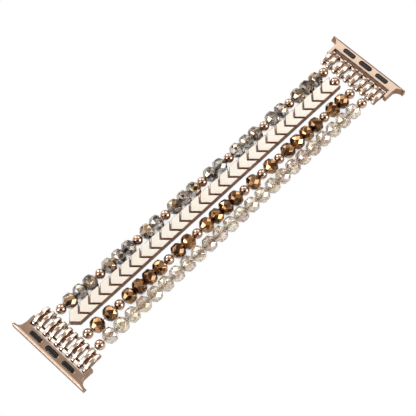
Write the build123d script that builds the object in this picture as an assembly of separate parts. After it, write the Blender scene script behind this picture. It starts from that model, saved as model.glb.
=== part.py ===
from build123d import *
import math
import os

# A bead watch band lying flat on a table: four strands of beads on elastic cord, with a hinged
# metal connector and a case adapter at each end. Millimetres.
# The origin is on the table under the middle of the band. +X runs along the band, +Y points to the
# smoky strand and +Z up. The band lies with the side that faces the wrist up.

# Crystals
facets_round = 7                 # diamond facets round the middle
crystal_diameter = 5.9
crystal_length = 4.85
champagne_length = 5.0
table_diameter = 2.9             # the flat at each end of the hole
diamond_share = 0.6              # length of the diamond facets, as a share of the crystal's
bead_bore = 1.0                  # across the flats of the hole
bore_sides = 4

# Metal balls
ball_diameter = 3.9
ball_rim = 0.06                  # metal between a ball's hole and the edge of its flat end
ball_sides = 8
ball_bore_sides = 6
ball_latitudes = (20, 57)        # degrees, of the rings between a ball's flat bands

# Chevron beads
chevron_side = 4.45              # length along the straight sides
chevron_point = 2.8              # how far the point stands out
chevron_width = 5.8
chevron_thickness = 3.0
chevron_bevel = 0.4

# Strands: S is a metal ball, C a crystal and V a chevron
smoky_order = "SCCCSCCCSCCSCCCSCCSCCCSCCSCCCS"
chevron_order = "V" * 27 + "S"
bronze_order = "SCCSCCCCSCCSCCCCSCSCSCCCCSCCS"
champagne_order = "S" + "C" * 24 + "S"
smoky_y = 9.5
chevron_y = 3.45
bronze_y = -4.0
champagne_y = -10.0
smoky_gap = 0.05
chevron_gap = 0.59
bronze_gap = 0.22
champagne_gap = 0.51
bend_gap = 0.4                   # least gap between two crystals where the band bends
notch_gap = 0.1                  # between the last chevron and the ball in its notch
bronze_slack = 1.3               # bare cord after the first bronze crystal

# The band bends between beads: the beads of each strand that a bend comes after
smoky_bends = (4, 9, 12, 18, 22, 26)
chevron_bends = (4, 8, 11, 16, 20, 24)
bronze_bends = (4, 9, 12, 17, 21, 25)
champagne_bends = (4, 8, 11, 15, 19, 22)

# Elastic cords
cord_diameter = 0.6
cord_sides = 6
cord_break = 0.3                 # between two stretches of a cord, where the band bends
eye_sides = 6
eye_clearance = 0.1              # between a cord's eye and the bar that it loops round
eye_side_clearance = 0.15        # between a cord's eye and the rail beside it
fan_out = 2.0                    # length of the slanted run from an eye to its strand

# Connector links: each has two arched rails joined by a web, on two pins
link_count = 5
link_pitch = 5.75
rail_spacing = 2.6
rail_width = 1.2
rail_thickness = 1.25
rail_rise = 1.0                  # of a rail's crest over its two ends
pin_knuckle_radius = 1.35
bar_knuckle_radius = 1.2
knuckle_sides = 8
knuckle_bore_sides = 6
web_drop = 0.7                   # of the web's upper face, under the rails' crest
web_thickness = 0.5
web_length = 3.5
pin_to_bar = 6.0                 # along the band
bar_to_beads = 1.65              # from the cord bar's axis to the nearest beads
pin_diameter = 1.1
cord_bar_diameter = 1.1
running_clearance = 0.05
seat_clearance = 0.02
spacer_diameter = 2.0            # across the flats
spacer_end_clearance = 0.1

# Case adapters
adapter_width = 36.0
adapter_thickness = 2.8
adapter_bar_depth = 4.25
front_to_pin = 6.1
tip_depth = 1.5                  # of each end at the foot, along the band
tip_top_depth = 0.25             # and at the top, where the end is a point
wing_depth = 3.3                 # from the front edge to where the ear starts
wing_hollow = 0.55               # how far the curve behind each end dips
wing_foot = 0.9                  # height where the wall behind each end starts to lean
ear_width = 1.3
ear_reach = 1.6                  # behind the pin
ear_bevel = 0.35
ear_clearance = 0.15
nose_bevel_depth = 1.0
nose_bevel_drop = 0.45
under_bevel = 0.5

# What sits in each adapter: two rubber pads and a sprung lock tab
insert_length = 5.7
insert_width = 1.9
insert_pitch = 8.1
insert_from_front = 2.35
insert_proud = 0.1
oblong_corner_share = 0.29       # of an insert's width, cut off its corners
pad_depth = 0.9
pad_clearance = 0.05
lock_travel = 0.6
lock_lip = 0.9                   # metal over the lock's flange
lock_flange = 0.3
lock_flange_height = 0.4
lock_clearance = 0.08
lock_floor = 0.45                # metal under the lock's spring
spring_thickness = 0.12
spring_width = 1.0
spring_length = 4.6

overrun = 1.0                    # of a cut past the face that it breaks

ball_end_radius = ball_diameter / 2 * math.cos(math.radians(max(ball_latitudes)))
ball_hole_radius = ball_end_radius * math.cos(math.pi / ball_sides) - ball_rim
ball_bore = 2 * ball_hole_radius * math.cos(math.pi / ball_bore_sides)     # across the flats
bead_height = crystal_diameter / 2 * math.cos(math.pi / facets_round)
bend_height = bead_height + table_diameter / 2     # the beads meet there when the band curls up
window = link_pitch - rail_spacing - rail_width
pin_height = adapter_thickness / 2
lock_foot_bottom = adapter_thickness - lock_lip - running_clearance - lock_flange_height


def ring_of_points(x, radius, sides, turn_share=0.0):
    """Corners of a regular polygon round the X axis, from straight down or a share of its step on."""
    angles = [2 * math.pi * (k + turn_share) / sides for k in range(sides)]
    return [(x, radius * math.sin(a), -radius * math.cos(a)) for a in angles]


def prism(plane, across_flats, sides, length):
    """A flat-sided bar along the plane's normal, centred on its origin."""
    section = RegularPolygon(across_flats / 2, sides, major_radius=False, rotation=180 / sides)
    return extrude(plane * section, length / 2, both=True)


def make_crystal(length):
    """A round crystal: diamonds round its middle, smaller facets beside them and two flat ends."""
    radius = crystal_diameter / 2
    shoulder = radius * math.cos(math.pi / facets_round)
    points = ring_of_points(0, radius, facets_round, 0.5)
    for x in (-length / 2, length / 2):
        points += ring_of_points(x * diamond_share, shoulder, facets_round)
        points += ring_of_points(x, table_diameter / 2, facets_round)
    return ConvexPolyhedron(points) - prism(Plane.YZ, bead_bore, bore_sides, length)


def make_ball():
    """A small metal ball with a wide hole, its roundness in flat bands."""
    radius = ball_diameter / 2
    points = []
    for latitude in ball_latitudes:
        for x in (-radius, radius):
            tilt = math.radians(latitude)
            points += ring_of_points(x * math.sin(tilt), radius * math.cos(tilt), ball_sides, 0.5)
    return ConvexPolyhedron(points) - prism(Plane.YZ, ball_bore, ball_bore_sides, ball_diameter)


def make_chevron():
    """An arrow-shaped bead that points to -X, bevelled above and below, with its point at X zero."""
    half = chevron_width / 2
    outline = Polyline(
        (0, 0),
        (chevron_point, half),
        (chevron_point + chevron_side, half),
        (chevron_side, 0),
        (chevron_point + chevron_side, -half),
        (chevron_point, -half),
        close=True,
    )
    body = extrude(make_face(outline), chevron_thickness / 2, both=True)
    body = chamfer(body.faces().filter_by(Axis.Z).edges(), chevron_bevel)
    return body - prism(Plane.YZ, bead_bore, bore_sides, 2 * (chevron_side + chevron_point))


def place_beads(order, lengths, gap, bends, special_gaps):
    """The start of each bead and the middle of each gap after it, with the strand centred on X."""
    gaps = [gap] * (len(order) - 1)
    for bend in bends:
        gaps[bend - 1] = max(gap, bend_gap)
    for after, size in special_gaps.items():
        gaps[after - 1] = size
    starts, middles = [], []
    x = -(sum(lengths[kind] for kind in order) + sum(gaps)) / 2
    for kind, after in zip(order, gaps + [0]):
        starts.append(x)
        middles.append(x + lengths[kind] + after / 2)
        x += lengths[kind] + after
    return starts, middles


def make_strands():
    """The four strands, each with the places of its beads, gaps and bends."""
    crystals = {"S": ball_diameter, "C": crystal_length}
    champagne = {"S": ball_diameter, "C": champagne_length}
    chevrons = {"S": ball_diameter, "V": chevron_side}
    half_notch = math.atan2(chevron_width / 2, chevron_point)
    notch_seat = ball_diameter / 2 / math.sin(half_notch) - ball_diameter / 2 + notch_gap
    last_notch = {chevron_order.count("V"): notch_seat}
    slack = {bronze_order.index("C") + 1: bronze_slack}
    rows = (
        ("smoky", smoky_y, smoky_order, crystals, smoky_gap, smoky_bends, {}, 0),
        ("chevron", chevron_y, chevron_order, chevrons, chevron_gap, chevron_bends, last_notch,
         chevron_point),
        ("bronze", bronze_y, bronze_order, crystals, bronze_gap, bronze_bends, slack, 0),
        ("champagne", champagne_y, champagne_order, champagne, champagne_gap, champagne_bends, {}, 0),
    )
    made = []
    for name, y, order, lengths, gap, bends, special, nesting in rows:
        starts, middles = place_beads(order, lengths, gap, bends, special)
        breaks = [middles[bend - 1] for bend in bends]
        cuts = [0, *bends, len(order)]
        strand = {"name": name, "y": y, "order": order, "lengths": lengths}
        made.append(strand | {"starts": starts, "cuts": cuts, "breaks": breaks, "nesting": nesting})
    return made


strands = make_strands()
segment_count = len(smoky_bends) + 1
bend_places = [
    sum(strand["breaks"][k] + strand["nesting"] / 2 for strand in strands) / len(strands)
    for k in range(segment_count - 1)
]
beads_half_length = max(-strand["starts"][0] for strand in strands)
bar_x = beads_half_length + bar_to_beads
pin_x = bar_x + pin_to_bar
front_x = pin_x + front_to_pin
links_half_width = ((link_count - 1) * link_pitch + rail_spacing + rail_width) / 2
ear_inner = links_half_width + ear_clearance
ear_outer = ear_inner + ear_width

crystal = make_crystal(crystal_length)
champagne_crystal = make_crystal(champagne_length)
ball = make_ball()
chevron = make_chevron()


def beads_of(segment, name, kind, bead):
    """Copies of a bead at the places that its kind has in one segment of a strand."""
    placed = []
    for strand in strands:
        if name not in (strand["name"], "all"):
            continue
        for k in range(strand["cuts"][segment], strand["cuts"][segment + 1]):
            if strand["order"][k] == kind:
                middle = 0 if kind == "V" else strand["lengths"][kind] / 2
                placed.append(Pos(strand["starts"][k] + middle, strand["y"], bead_height) * bead)
    return placed


def eye_place(strand_index, y):
    """Where a strand's eye sits in its window between two links, as near to its strand as it can."""
    middle = (len(strands) / 2 - strand_index) * link_pitch - link_pitch / 2
    room = (window - cord_diameter) / 2 - eye_side_clearance
    return min(max(y, middle - room), middle + room)


def cord_run(points):
    """A stretch of cord through the points."""
    start = Plane(origin=points[0], z_dir=Vector(*points[1]) - Vector(*points[0]))
    section = start * RegularPolygon(cord_diameter / 2, cord_sides)
    return sweep(section, Polyline(*points), transition=Transition.RIGHT)


def make_eye(x, y):
    """The end of a cord, looped round the cord bar."""
    hole = cord_bar_diameter + 2 * eye_clearance
    plane = Plane((x, y, bead_height), x_dir=(1, 0, 0), z_dir=(0, 1, 0))
    outer = prism(plane, hole + 2 * cord_diameter, eye_sides, cord_diameter)
    return outer - prism(plane, hole, eye_sides, cord_diameter)


def cords_of(segment):
    """The four cords' stretches inside one segment, with their eyes at the ends of the band."""
    wall_middle = cord_bar_diameter / 2 + eye_clearance + cord_diameter / 2
    stretches = []
    for index, strand in enumerate(strands):
        y = strand["y"]
        points, eyes = [], []
        for side, k in ((-1, segment - 1), (1, segment)):
            if k in (-1, segment_count - 1):
                eye_y = eye_place(index, y)
                start = bar_x - wall_middle
                ends = [(side * start, eye_y, bead_height), (side * (start - fan_out), y, bead_height)]
                eyes.append(make_eye(side * bar_x, eye_y))
            else:
                ends = [(strand["breaks"][k] - side * cord_break / 2, y, bead_height)]
            points += ends if side < 0 else ends[::-1]
        stretch = cord_run(points)
        for eye in eyes:
            stretch = stretch + eye
        stretches.append(stretch)
    return stretches


def along_y(x, y, z, diameter, length):
    """A round bar along Y, centred on a point."""
    return Pos(x, y, z) * Rot(90, 0, 0) * Cylinder(diameter / 2, length)


def knuckle(x, z, across_flats, length, sides=knuckle_sides):
    """A flat-sided bar along Y."""
    return prism(Plane((x, 0, z), x_dir=(1, 0, 0), z_dir=(0, 1, 0)), across_flats, sides, length)


def knuckle_bore(x, z, diameter, length):
    return knuckle(x, z, diameter, length, knuckle_bore_sides)


def make_rail():
    """An arched rail with a knuckle at each end, one for the adapter's pin and one for the cord bar."""
    low = (-pin_x, pin_height + pin_knuckle_radius)
    high = (-bar_x, bead_height + bar_knuckle_radius)
    crest = link_crest()
    side = make_face(
        ThreePointArc(low, crest, high)
        + Polyline(
            high,
            (-bar_x, bead_height),
            (crest[0], crest[1] - rail_thickness),
            (-pin_x, pin_height),
            low,
        )
    )
    rail = extrude(Plane.XZ * side, rail_width / 2, both=True)
    rail += knuckle(-pin_x, pin_height, 2 * pin_knuckle_radius, rail_width)
    rail += knuckle(-bar_x, bead_height, 2 * bar_knuckle_radius, rail_width)
    rail -= knuckle_bore(-pin_x, pin_height, pin_diameter + 2 * running_clearance, rail_width)
    return rail - knuckle_bore(-bar_x, bead_height, cord_bar_diameter + 2 * seat_clearance, rail_width)


def link_crest():
    """The highest point of a rail, half way between its two knuckles."""
    tops = (pin_height + pin_knuckle_radius, bead_height + bar_knuckle_radius)
    return -(pin_x + bar_x) / 2, sum(tops) / 2 + rail_rise


def make_link():
    """A double-rail link: two rails and the web between them."""
    x, z = link_crest()
    rise = bead_height + bar_knuckle_radius - pin_height - pin_knuckle_radius
    slope = math.degrees(math.atan2(rise, pin_to_bar))
    web = Box(web_length, rail_spacing, web_thickness)
    link = Pos(x, 0, z - web_drop - web_thickness / 2) * Rot(0, -slope, 0) * web
    for side in (-1, 1):
        link += Pos(0, side * rail_spacing / 2, 0) * make_rail()
    return link


def left_links():
    link = make_link()
    first = -(link_count - 1) / 2
    return [Pos(0, (first + k) * link_pitch, 0) * link for k in range(link_count)]


def left_pin_spacers():
    """Sleeves that keep the links apart on the adapter's pin."""
    length = window - 2 * spacer_end_clearance
    sleeve = knuckle_bore(-pin_x, pin_height, spacer_diameter, length)
    sleeve -= knuckle_bore(-pin_x, pin_height, pin_diameter + 2 * running_clearance, length)
    first = -(link_count - 2) / 2
    return [Pos(0, (first + k) * link_pitch, 0) * sleeve for k in range(link_count - 1)]


def oblong(y, low, high, grow=0.0):
    """An upright oblong block at an insert's place, its long side across the band."""
    length, width = insert_length + 2 * grow, insert_width + 2 * grow
    section = chamfer(Rectangle(width, length).vertices(), width * oblong_corner_share)
    return extrude(Pos(-front_x + insert_from_front, y, low) * section, high - low)


def lock_foot(low, high, grow=0.0):
    """The wider block under the lock tab, or the room for it."""
    length = insert_length + 2 * (lock_flange + grow)
    width = insert_width + 2 * (lock_flange + grow)
    return Pos(-front_x + insert_from_front, 0, (low + high) / 2) * Box(width, length, high - low)


def adapter_outline(tip_depth):
    """Plan of an adapter: a straight front edge, two narrow ends, and an ear each side for the pin."""
    half = adapter_width / 2
    back = -front_x + adapter_bar_depth
    ear_end = -pin_x + ear_reach
    wing_end = -front_x + wing_depth
    tip = -front_x + tip_depth
    hollow = ((tip + wing_end) / 2 - wing_hollow, (half + ear_outer) / 2 - wing_hollow)
    side = Polyline((-front_x, 0), (-front_x, half), (tip, half))
    side += ThreePointArc((tip, half), hollow, (wing_end, ear_outer))
    side += Polyline(
        (wing_end, ear_outer),
        (ear_end, ear_outer),
        (ear_end, ear_inner),
        (back, ear_inner),
        (back, 0),
    )
    return make_face(side + mirror(side, about=Plane.XZ))


def left_adapter():
    top = adapter_thickness
    upright = adapter_outline(tip_depth)
    body = extrude(upright, wing_foot)
    body += loft([Pos(0, 0, wing_foot) * upright, Pos(0, 0, top) * adapter_outline(tip_top_depth)], ruled=True)
    back_corners = body.edges().filter_by(Axis.Z).group_by(Axis.X)[-1].group_by(Axis.Y)
    body = chamfer(back_corners[0] + back_corners[-1], ear_bevel)
    nose = [(-front_x, top), (-front_x + nose_bevel_depth, top), (-front_x, top - nose_bevel_drop)]
    under = [(-front_x, 0), (-front_x + under_bevel, 0), (-front_x, under_bevel)]
    for bevel in (nose, under):
        body -= extrude(Plane.XZ * make_face(Polyline(*bevel, close=True)), adapter_width, both=True)
    body -= knuckle(-pin_x, pin_height, pin_diameter + 2 * seat_clearance, adapter_width)
    for side in (-1, 1):
        body -= oblong(side * insert_pitch, top - pad_depth, top + overrun)
    body -= oblong(0, lock_floor, top + overrun, lock_clearance)
    return body - lock_foot(lock_floor, top - lock_lip, lock_clearance)


def left_rubber_pads():
    low, high = adapter_thickness - pad_depth, adapter_thickness + insert_proud
    return [oblong(side * insert_pitch, low, high, -pad_clearance) for side in (-1, 1)]


def left_lock_tab():
    """The tab that locks the adapter in the case, held in by the flange at its foot."""
    tab = oblong(0, lock_foot_bottom, adapter_thickness + insert_proud)
    return tab + lock_foot(lock_foot_bottom, lock_foot_bottom + lock_flange_height)


def left_lock_spring():
    """An arched leaf spring under the lock tab."""
    rise = lock_foot_bottom - lock_floor - seat_clearance
    half = spring_length / 2
    inner_half = half - spring_thickness
    arched = make_face(
        ThreePointArc((-half, 0), (0, rise), (half, 0))
        + Line((half, 0), (inner_half, 0))
        + ThreePointArc((inner_half, 0), (0, rise - spring_thickness), (-inner_half, 0))
        + Line((-inner_half, 0), (-half, 0))
    )
    side = Plane((-front_x + insert_from_front, 0, lock_floor), x_dir=(0, 1, 0), z_dir=(1, 0, 0))
    return extrude(side * arched, spring_width / 2, both=True)


def write_node(name, solids):
    parts = solids if isinstance(solids, list) else [solids]
    export_step(Compound(children=[part.solid() for part in parts]), f"parts/{name}.step")


os.makedirs("parts", exist_ok=True)

for segment in range(segment_count):
    number = segment + 1
    write_node(f"smoky_crystals_{number}", beads_of(segment, "smoky", "C", crystal))
    write_node(f"chevron_beads_{number}", beads_of(segment, "chevron", "V", chevron))
    write_node(f"bronze_crystals_{number}", beads_of(segment, "bronze", "C", crystal))
    write_node(f"champagne_crystals_{number}", beads_of(segment, "champagne", "C", champagne_crystal))
    write_node(f"metal_balls_{number}", beads_of(segment, "all", "S", ball))
    write_node(f"elastic_cords_{number}", cords_of(segment))

left_end = {
    "adapter": left_adapter(),
    "rubber_pads": left_rubber_pads(),
    "lock_tab": left_lock_tab(),
    "lock_spring": left_lock_spring(),
    "adapter_pin": along_y(-pin_x, 0, pin_height, pin_diameter, 2 * ear_outer),
    "links": left_links(),
    "pin_spacers": left_pin_spacers(),
    "cord_bar": along_y(-bar_x, 0, bead_height, cord_bar_diameter, 2 * links_half_width),
}
for name, solids in left_end.items():
    pieces = solids if isinstance(solids, list) else [solids]
    write_node(f"left_{name}", pieces)
    write_node(f"right_{name}", [mirror(piece, about=Plane.YZ) for piece in pieces])

print("bead height", bead_height)
print("bends at", [round(x, 3) for x in bend_places], bend_height)
print("cord bar at", bar_x, "pin at", pin_x, pin_height, "front at", front_x)
print("lock spring from", lock_floor, "to", lock_foot_bottom, "ears from", ear_inner, "to", ear_outer)
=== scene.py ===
import bmesh
import bpy
import math
import random
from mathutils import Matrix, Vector


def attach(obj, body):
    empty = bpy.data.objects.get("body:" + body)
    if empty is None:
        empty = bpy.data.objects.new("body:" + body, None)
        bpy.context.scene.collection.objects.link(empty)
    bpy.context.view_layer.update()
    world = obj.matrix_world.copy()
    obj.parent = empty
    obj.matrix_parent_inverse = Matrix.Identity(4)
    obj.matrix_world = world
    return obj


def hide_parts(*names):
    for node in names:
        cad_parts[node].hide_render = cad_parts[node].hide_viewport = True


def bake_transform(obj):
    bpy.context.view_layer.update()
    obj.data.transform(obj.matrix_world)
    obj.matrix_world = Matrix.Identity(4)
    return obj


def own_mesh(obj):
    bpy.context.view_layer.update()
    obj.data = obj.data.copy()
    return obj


# A stretch bead watch band, lying flat with the side that faces the wrist up.
# Metres, in the CAD frame: X along the band, Y across it, Z up.

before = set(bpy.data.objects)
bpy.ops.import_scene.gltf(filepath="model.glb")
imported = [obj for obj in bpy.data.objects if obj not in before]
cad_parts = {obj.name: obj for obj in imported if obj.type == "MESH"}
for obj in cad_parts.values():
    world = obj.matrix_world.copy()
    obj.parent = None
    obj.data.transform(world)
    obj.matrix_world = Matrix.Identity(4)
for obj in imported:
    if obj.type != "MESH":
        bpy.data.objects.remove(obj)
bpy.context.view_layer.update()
chance = random.Random(11)
print("frame loaded", len(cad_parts), "nodes")


# camera and studio

view = {
    "azimuth": -45.9,
    "elevation": 61.95,
    "distance": 0.5759,
    "target": (-0.00273, 0.00149, 0.0),
    "lens": 137.0,
}

azimuth, elevation = math.radians(view["azimuth"]), math.radians(view["elevation"])
back = Vector((
    math.sin(azimuth) * math.cos(elevation),
    -math.cos(azimuth) * math.cos(elevation),
    math.sin(elevation),
))
bpy.ops.object.select_all(action="DESELECT")
bpy.ops.object.camera_add(location=Vector(view["target"]) + back * view["distance"])
camera = bpy.context.object
camera.name = "camera"
camera.rotation_mode = "QUATERNION"
camera.rotation_quaternion = (-back).to_track_quat("-Z", "Y")
camera.data.lens = view["lens"]
camera.data.clip_start, camera.data.clip_end = 0.01, 20
bpy.context.scene.camera = camera
bpy.context.scene.view_settings.view_transform = "Standard"


def linearColour(hexText):
    parts = [int(hexText[k:k + 2], 16) / 255 for k in (1, 3, 5)]
    return tuple(c / 12.92 if c <= 0.04045 else ((c + 0.055) / 1.055) ** 2.4 for c in parts) + (1.0,)


def addNode(tree, kind, settings=None, links=None):
    # one node, with its sockets or properties set and its inputs linked
    node = tree.nodes.new(kind)
    for key, value in (settings or {}).items():
        if isinstance(key, int) or key in node.inputs:
            node.inputs[key].default_value = value
        else:
            setattr(node, key, value)
    for key, source in (links or {}).items():
        tree.links.new(source, node.inputs[key])
    return node


def newMaterial(name):
    material = bpy.data.materials.new(name)
    material.use_nodes = True
    tree = material.node_tree
    tree.nodes.clear()
    return material, tree


def finishMaterial(tree, shader, bump=None):
    if bump is not None:
        tree.links.new(bump.outputs["Normal"], shader.inputs["Normal"])
    addNode(tree, "ShaderNodeOutputMaterial", {}, {"Surface": shader.outputs[0]})


studio = {
    "room": ("#B5A294", 1.0),           # warm studio all round, for the brown darks in metal and glass
    "horizon": ("#6B5246", 0.75),       # darker where the room meets the table
    "horizonFade": (-0.1, 0.45),        # from the height of the horizon's tone to that of the room's
    "floor": "#F4F3F1",
    "floorSize": 8,
    "floorDrop": 0.00014,               # the softened crystals reach this far down
    "floorGlowMirrored": 0.5,           # share of the floor that is pure white in metal
    "floorGlowThrough": 0.92,           # and through glass
    "contactReach": 0.004,              # narrow gaps down to the table stay in shadow
    "contactShade": (0.03, 0.16),       # how open the paper is where it is fully shaded, and where it is white
    "chevronPaintedShade": (0.066, 0.004, 0.0029),     # half length, Y and half width of the strip of painted shade under the chevrons
    # painted shade: how far that strip lowers the paper's openness
    "chevronPaintedShadeDepth": 0.4,
    "keySoftbox": ((0.59, 0.30, 0.62), 0.65, 1.2),      # place, size and watts
    "patches": (                        # direction, inner and outer half angle, colour, strength
        ((-0.47, -0.46, 0.75), 12, 34, "#2B1D14", 0.5),     # open side, where the camera is
        ((0.64, 0.30, 0.71), 12, 24, "#FFFBF5", 0.78),      # panel over the right end
        ((-0.55, 0.33, 0.77), 6, 22, "#FFFBF5", 1.35),      # panel over the left end
        ((-0.86, 0.30, 0.38), 9, 16, "#FFFDF8", 7.0),       # softbox at the left
        ((0.38, -0.78, 0.50), 9, 16, "#FFFAF2", 8.0),       # softbox at the right
        ((0.08, 0.86, 0.50), 9, 16, "#FFFDF8", 7.0),        # strip behind
    ),
}


def glowOf(hexText, strength):
    return [c * strength for c in linearColour(hexText)[:3]] + [1]


def makeWorld():
    # a dim room that metal and glass mirror, with bright patches where softboxes and panels hang
    world = bpy.data.worlds.new("softboxStudio")
    bpy.context.scene.world = world
    world.use_nodes = True
    tree = world.node_tree
    tree.nodes.clear()
    direction = addNode(tree, "ShaderNodeTexCoord").outputs["Generated"]
    height = addNode(tree, "ShaderNodeSeparateXYZ", {}, {0: direction}).outputs["Z"]
    low, high = studio["horizonFade"]
    fade = {"From Min": low, "From Max": high}
    rise = addNode(tree, "ShaderNodeMapRange", fade, {"Value": height}).outputs[0]
    ends = {"data_type": "RGBA", 6: glowOf(*studio["horizon"]), 7: glowOf(*studio["room"])}
    mixed = addNode(tree, "ShaderNodeMix", ends, {0: rise}).outputs[2]
    for place, inner, outer, colour, strength in studio["patches"]:
        towards = {"operation": "DOT_PRODUCT", 1: Vector(place).normalized()}
        near = addNode(tree, "ShaderNodeVectorMath", towards, {0: direction}).outputs["Value"]
        edges = {"interpolation_type": "SMOOTHSTEP", "From Min": math.cos(math.radians(outer)),
                 "From Max": math.cos(math.radians(inner))}
        share = addNode(tree, "ShaderNodeMapRange", edges, {"Value": near}).outputs[0]
        glow = {"data_type": "RGBA", 7: glowOf(colour, strength)}
        mixed = addNode(tree, "ShaderNodeMix", glow, {0: share, 6: mixed}).outputs[2]
    seen = addNode(tree, "ShaderNodeLightPath").outputs["Is Camera Ray"]
    white = {"data_type": "RGBA", 7: (1, 1, 1, 1)}
    mixed = addNode(tree, "ShaderNodeMix", white, {0: seen, 6: mixed}).outputs[2]
    light = addNode(tree, "ShaderNodeBackground", {"Strength": 1.0}, {"Color": mixed})
    addNode(tree, "ShaderNodeOutputWorld", {}, {"Surface": light.outputs[0]})


def makeFloor():
    # white paper: the camera sees it only where it lies in shade, and looks through it elsewhere to the white
    # room, so that an end which swings down past the table stays in sight
    bpy.ops.object.select_all(action="DESELECT")
    bpy.ops.mesh.primitive_plane_add(size=studio["floorSize"], location=(0, 0, -studio["floorDrop"]))
    floor = bpy.context.object
    floor.name = "tableTop"
    material, tree = newMaterial("whitePaperSweep")
    paper = addNode(tree, "ShaderNodeBsdfDiffuse", {"Color": linearColour(studio["floor"])})
    glow = addNode(tree, "ShaderNodeEmission", {"Color": (1, 1, 1, 1), "Strength": 1.0})
    window = addNode(tree, "ShaderNodeBsdfTransparent")
    rays = addNode(tree, "ShaderNodeLightPath").outputs
    place = addNode(tree, "ShaderNodeTexCoord").outputs["Object"]
    along = addNode(tree, "ShaderNodeSeparateXYZ", {}, {0: place}).outputs
    # painted shade: a strip placed by position under the chevron strand keeps the paper there shaded, beyond
    # its contact shade
    reach, middle, half = studio["chevronPaintedShade"]
    inLength = addNode(tree, "ShaderNodeMath", {"operation": "COMPARE", 1: 0.0, 2: reach}, {0: along["X"]})
    inWidth = addNode(tree, "ShaderNodeMath", {"operation": "COMPARE", 1: middle, 2: half}, {0: along["Y"]})
    paintedShadeStrip = addNode(tree, "ShaderNodeMath", {"operation": "MULTIPLY"},
                    {0: inLength.outputs[0], 1: inWidth.outputs[0]})
    contact = addNode(tree, "ShaderNodeAmbientOcclusion", {"samples": 8, "Distance": studio["contactReach"]})
    shade = addNode(tree, "ShaderNodeMath", {"operation": "MULTIPLY_ADD", 1: -studio["chevronPaintedShadeDepth"]},
                    {0: paintedShadeStrip.outputs[0], 2: contact.outputs["AO"]})
    dark, clear = studio["contactShade"]
    opened = addNode(tree, "ShaderNodeMapRange", {"From Min": dark, "From Max": clear},
                     {"Value": shade.outputs[0]})
    white = addNode(tree, "ShaderNodeMath", {"operation": "MULTIPLY"},
                    {0: opened.outputs[0], 1: rays["Is Camera Ray"]})
    for ray, key in (("Is Glossy Ray", "floorGlowMirrored"), ("Is Transmission Ray", "floorGlowThrough")):
        part = addNode(tree, "ShaderNodeMath", {"operation": "MULTIPLY", 1: studio[key]}, {0: rays[ray]})
        white = addNode(tree, "ShaderNodeMath", {"operation": "MAXIMUM"},
                        {0: white.outputs[0], 1: part.outputs[0]})
    bright = addNode(tree, "ShaderNodeMixShader", {},
                     {0: rays["Is Camera Ray"], 1: glow.outputs[0], 2: window.outputs[0]})
    above = addNode(tree, "ShaderNodeMixShader", {},
                    {0: white.outputs[0], 1: paper.outputs[0], 2: bright.outputs[0]})
    fromBelow = addNode(tree, "ShaderNodeNewGeometry").outputs["Backfacing"]
    both = addNode(tree, "ShaderNodeMixShader", {}, {0: fromBelow, 1: above.outputs[0], 2: window.outputs[0]})
    finishMaterial(tree, both)
    floor.data.materials.append(material)


def addSoftbox(name, place, size, watts):
    bpy.ops.object.select_all(action="DESELECT")
    bpy.ops.object.light_add(type="AREA", location=place)
    lamp = bpy.context.object
    lamp.name = name
    lamp.data.size, lamp.data.energy = size, watts
    lamp.rotation_mode = "QUATERNION"
    lamp.rotation_quaternion = (-Vector(place)).to_track_quat("-Z", "Y")


makeWorld()
makeFloor()
addSoftbox("keySoftbox", *studio["keySoftbox"])
print("studio ready")


# modelling helpers

tiny = 1e-6         # places that lie closer than this count as one
toolReach = 0.001   # a cutting tool stands this far out of the piece it cuts


def startEdit(select="FACE"):
    bpy.ops.object.mode_set(mode="EDIT")
    bpy.ops.mesh.select_mode(type=select)


def endEdit():
    bpy.ops.object.mode_set(mode="OBJECT")


def pick(kind, test):
    # in edit mode, selects only the faces, edges or corners that the test picks by their place
    bm = bmesh.from_edit_mesh(bpy.context.object.data)
    bpy.ops.mesh.select_mode(type={"faces": "FACE", "edges": "EDGE", "verts": "VERT"}[kind])
    bpy.ops.mesh.select_all(action="DESELECT")
    bm.normal_update()
    for item in getattr(bm, kind):
        if test(item):
            item.select_set(True)
    bm.select_flush_mode()
    bmesh.update_edit_mesh(bpy.context.object.data)


def middleOf(edge):
    return (edge.verts[0].co + edge.verts[1].co) / 2


def selectOnly(piece):
    bpy.ops.object.select_all(action="DESELECT")
    piece.select_set(True)
    bpy.context.view_layer.objects.active = piece


def useModifier(piece, kind, **settings):
    selectOnly(piece)
    modifier = piece.modifiers.new(kind.title(), kind)
    for key, value in settings.items():
        setattr(modifier, key, value)
    bpy.ops.object.modifier_apply(modifier=modifier.name)
    return piece


def softenEdges(piece, width, segments=2, angle=30):
    return useModifier(piece, "BEVEL", width=width, segments=segments, limit_method="ANGLE",
                       angle_limit=math.radians(angle), harden_normals=False)


def combine(piece, tool, operation):
    useModifier(piece, "BOOLEAN", object=tool, operation=operation, solver="EXACT")
    bpy.data.objects.remove(tool)


def addPrimitive(kind, stretch=(1, 1, 1), **settings):
    bpy.ops.object.select_all(action="DESELECT")
    getattr(bpy.ops.mesh, f"primitive_{kind}_add")(**settings)
    piece = bpy.context.object
    piece.scale = stretch
    bpy.ops.object.transform_apply(location=True, rotation=True, scale=True)
    return piece


def shadeSmooth(piece, angle=35, flats=False):
    # rounded faces shade as one; with flats, large flat faces stay flat beside their rounded edges
    selectOnly(piece)
    bpy.ops.object.shade_smooth_by_angle(angle=math.radians(angle))
    if flats:
        useModifier(piece, "WEIGHTED_NORMAL", keep_sharp=True)


def copyPiece(piece, place=(0, 0, 0), roll=0.0, flip=False, lean=(0.0, 0.0)):
    # a copy with its own mesh, rolled about its X axis, leaned a little and moved to its place
    twin = piece.copy()
    twin.data = piece.data.copy()
    bpy.context.scene.collection.objects.link(twin)
    selectOnly(twin)
    twin.rotation_euler = (roll, *lean)
    twin.location = place
    bpy.ops.object.transform_apply(location=True, rotation=True, scale=True)
    if flip:
        mirrorPiece(twin)
    return twin


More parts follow.
